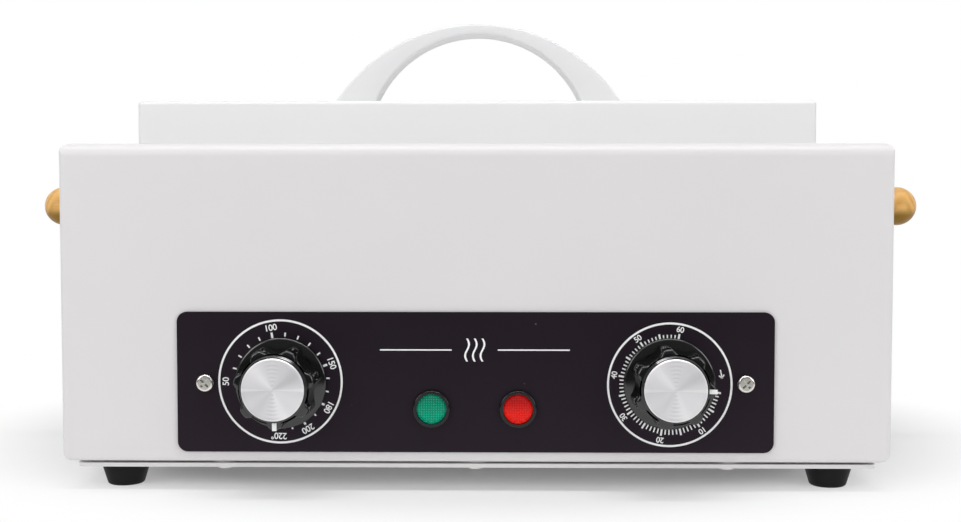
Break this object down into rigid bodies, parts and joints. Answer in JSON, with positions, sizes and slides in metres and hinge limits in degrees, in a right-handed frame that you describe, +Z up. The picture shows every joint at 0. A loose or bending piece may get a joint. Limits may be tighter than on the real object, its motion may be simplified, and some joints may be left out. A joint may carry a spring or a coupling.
{
  "type": "dry heat sterilizer",
  "caption": "Table-top dry heat sterilizer: a white metal case with a hinged lid, heated steel chamber and tray, temperature and timer dials and two indicator lamps.",
  "frame": {"origin": "on the surface it stands on, under the middle of the whole outline, knobs and cord gland included", "axes": "+X to the right seen from the front, +Y from the control panel to the back, +Z up"},
  "size_m": [0.395, 0.201, 0.1927],
  "materials": {
    "case_paint": "white powder coat, satin",
    "handle_plastic": "white moulded plastic, satin",
    "panel_black": "black printed plate, satin",
    "knob_black": "black, glossy",
    "bezel_black": "black, glossy",
    "spun_aluminium": "spun in fine rings",
    "green_lens": "clear green with moulded facets",
    "red_lens": "clear red with moulded facets",
    "foot_rubber": "black, matt",
    "knob_wood": "turned and clear lacquered",
    "stainless": "bright, lightly brushed",
    "zinc_screws": "zinc plated",
    "hinge_steel": "nickel plated",
    "brass_fittings": "turned",
    "heater_sheath": "heat tinted",
    "mineral_wool": "pressed mineral wool",
    "control_bodies": "unglazed ceramic",
    "timer_case": "pressed steel",
    "gland_nylon": "black nylon",
    "wire_covering": "silicone rubber"
  },
  "bodies": {
    "case": {"outer_case": "case_paint", "base_plate": "case_paint", "base_plate_screws": "zinc_screws", "foot_front_left": "foot_rubber", "foot_front_right": "foot_rubber", "foot_rear_left": "foot_rubber", "foot_rear_right": "foot_rubber", "foot_screws": "zinc_screws", "foot_nuts": "zinc_screws", "control_panel": "panel_black", "panel_screws": "zinc_screws", "thermostat_body": "control_bodies", "thermostat_nut": "brass_fittings", "thermostat_capillary": "heater_sheath", "timer_body": "timer_case", "timer_nut": "brass_fittings", "green_lamp_bezel": "bezel_black", "green_lamp_lens": "green_lens", "green_lamp_holder": "control_bodies", "red_lamp_bezel": "bezel_black", "red_lamp_lens": "red_lens", "red_lamp_holder": "control_bodies", "lamp_clips": "zinc_screws", "hinge_case_leaf_left": "hinge_steel", "hinge_case_leaf_right": "hinge_steel", "hinge_pins": "hinge_steel", "hinge_case_screws": "zinc_screws", "chamber_tank": "stainless", "side_insulation": "mineral_wool", "heating_element": "heater_sheath", "heater_clamps": "stainless", "heat_shield": "stainless", "bottom_insulation": "mineral_wool", "shield_studs": "stainless", "instrument_tray": "stainless", "tray_handle_left": "stainless", "tray_handle_right": "stainless", "side_knob_left": "knob_wood", "side_knob_right": "knob_wood", "side_knob_screws": "zinc_screws", "cord_gland": "gland_nylon", "cord_gland_nut": "gland_nylon", "terminal_block": "control_bodies", "internal_wires": "wire_covering"},
    "lid": {"lid_shell": "case_paint", "lid_inner_pan": "stainless", "lid_insulation": "mineral_wool", "lid_handle": "handle_plastic", "lid_handle_screws": "zinc_screws", "hinge_lid_leaf_left": "hinge_steel", "hinge_lid_leaf_right": "hinge_steel", "hinge_lid_rivets": "zinc_screws"},
    "temperature_dial": {"temperature_knob": "knob_black", "temperature_knob_cap": "spun_aluminium", "temperature_shaft": "brass_fittings"},
    "timer_dial": {"timer_knob": "knob_black", "timer_knob_cap": "spun_aluminium", "timer_shaft": "brass_fittings"}
  },
  "joints": [
    {"name": "lid_hinge", "type": "hinge", "parent": "case", "child": "lid", "pos_m": [0, 0.069, 0.1395], "axis": [-1, 0, 0], "range_deg": [0, 95]},
    {"name": "temperature_turn", "type": "hinge", "parent": "case", "child": "temperature_dial", "pos_m": [-0.0757, -0.0795, 0.043], "axis": [0, -1, 0], "range_deg": [0, 269]},
    {"name": "timer_turn", "type": "hinge", "parent": "case", "child": "timer_dial", "pos_m": [0.0757, -0.0795, 0.043], "axis": [0, 1, 0], "range_deg": [0, 278]}
  ]
}
